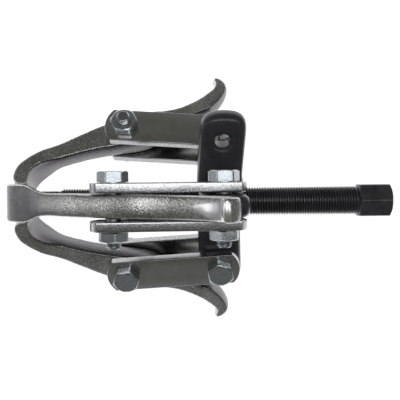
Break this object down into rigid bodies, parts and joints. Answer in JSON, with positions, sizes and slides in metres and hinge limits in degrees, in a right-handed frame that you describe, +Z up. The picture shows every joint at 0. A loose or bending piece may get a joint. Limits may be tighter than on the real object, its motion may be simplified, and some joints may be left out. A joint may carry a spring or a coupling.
{
  "type": "gear puller",
  "caption": "Reversible-jaw gear puller: a forcing screw through a forged yoke, with jaws hung on paired straps, lying closed.",
  "frame": {"origin": "under the middle of the bounding box, on the ground that the puller lies on", "axes": "+Z up; +X from the claws to the hexagon, with the screw tipped 5 degrees up towards the hexagon; +Y across"},
  "size_m": [0.2174, 0.1548, 0.1336],
  "materials": {
    "black_paint": "satin",
    "black_oxide": "satin",
    "bright_zinc": "bright",
    "strap_plate": "polished",
    "forged_plate": "as forged and plated"
  },
  "bodies": {
    "yoke": {"yoke": "black_paint"},
    "swivel_tip": {"swivel_tip": "black_oxide"},
    "forcing_screw": {"forcing_screw": "black_oxide"},
    "link_top": {"strap_top_head_side": "strap_plate", "strap_top_nut_side": "strap_plate", "arm_bolt_top": "bright_zinc", "arm_nut_top": "bright_zinc", "jaw_bolt_top": "bright_zinc", "jaw_nut_top": "bright_zinc"},
    "jaw_top": {"jaw_top": "forged_plate"},
    "link_left": {"strap_left_head_side": "strap_plate", "strap_left_nut_side": "strap_plate", "arm_bolt_left": "bright_zinc", "arm_nut_left": "bright_zinc", "jaw_bolt_left": "bright_zinc", "jaw_nut_left": "bright_zinc"},
    "jaw_left": {"jaw_left": "forged_plate"},
    "link_right": {"strap_right_head_side": "strap_plate", "strap_right_nut_side": "strap_plate", "arm_bolt_right": "bright_zinc", "arm_nut_right": "bright_zinc", "jaw_bolt_right": "bright_zinc", "jaw_nut_right": "bright_zinc"},
    "jaw_right": {"jaw_right": "forged_plate"}
  },
  "joints": [
    {"name": "screw_feed", "type": "slide", "parent": "yoke", "child": "swivel_tip", "axis": [0.9962, 0, 0.0872], "range_m": [-0.0165, 0.075]},
    {"name": "screw_turn", "type": "hinge", "parent": "swivel_tip", "child": "forcing_screw", "pos_m": [0.01085, 0, 0.04798], "axis": [0.9962, 0, 0.0872], "range_deg": [-3961, 18001]},
    {"name": "link_top_swing", "type": "hinge", "parent": "yoke", "child": "link_top", "pos_m": [0.00728, 0, 0.08882], "axis": [0, 1, 0], "range_deg": [0, 86]},
    {"name": "jaw_top_tilt", "type": "hinge", "parent": "link_top", "child": "jaw_top", "pos_m": [-0.04902, 0, 0.08823], "axis": [0, 1, 0], "range_deg": [-86, 0]},
    {"name": "link_left_swing", "type": "hinge", "parent": "yoke", "child": "link_left", "pos_m": [0.01264, 0.03551, 0.02755], "axis": [0.0755, -0.5, -0.8627], "range_deg": [0, 86]},
    {"name": "jaw_left_tilt", "type": "hinge", "parent": "link_left", "child": "jaw_left", "pos_m": [-0.0431, 0.03925, 0.02051], "axis": [0.0755, -0.5, -0.8627], "range_deg": [-86, 0]},
    {"name": "link_right_swing", "type": "hinge", "parent": "yoke", "child": "link_right", "pos_m": [0.01264, -0.03551, 0.02755], "axis": [-0.0755, -0.5, 0.8627], "range_deg": [0, 86]},
    {"name": "jaw_right_tilt", "type": "hinge", "parent": "link_right", "child": "jaw_right", "pos_m": [-0.0431, -0.03925, 0.02051], "axis": [-0.0755, -0.5, 0.8627], "range_deg": [-86, 0]}
  ],
  "couplings": [
    {"joint": "screw_turn", "follows": "screw_feed", "rad_per_m": 4188.8},
    {"joint": "jaw_top_tilt", "follows": "link_top_swing", "ratio": -1},
    {"joint": "jaw_left_tilt", "follows": "link_left_swing", "ratio": -1},
    {"joint": "jaw_right_tilt", "follows": "link_right_swing", "ratio": -1}
  ]
}
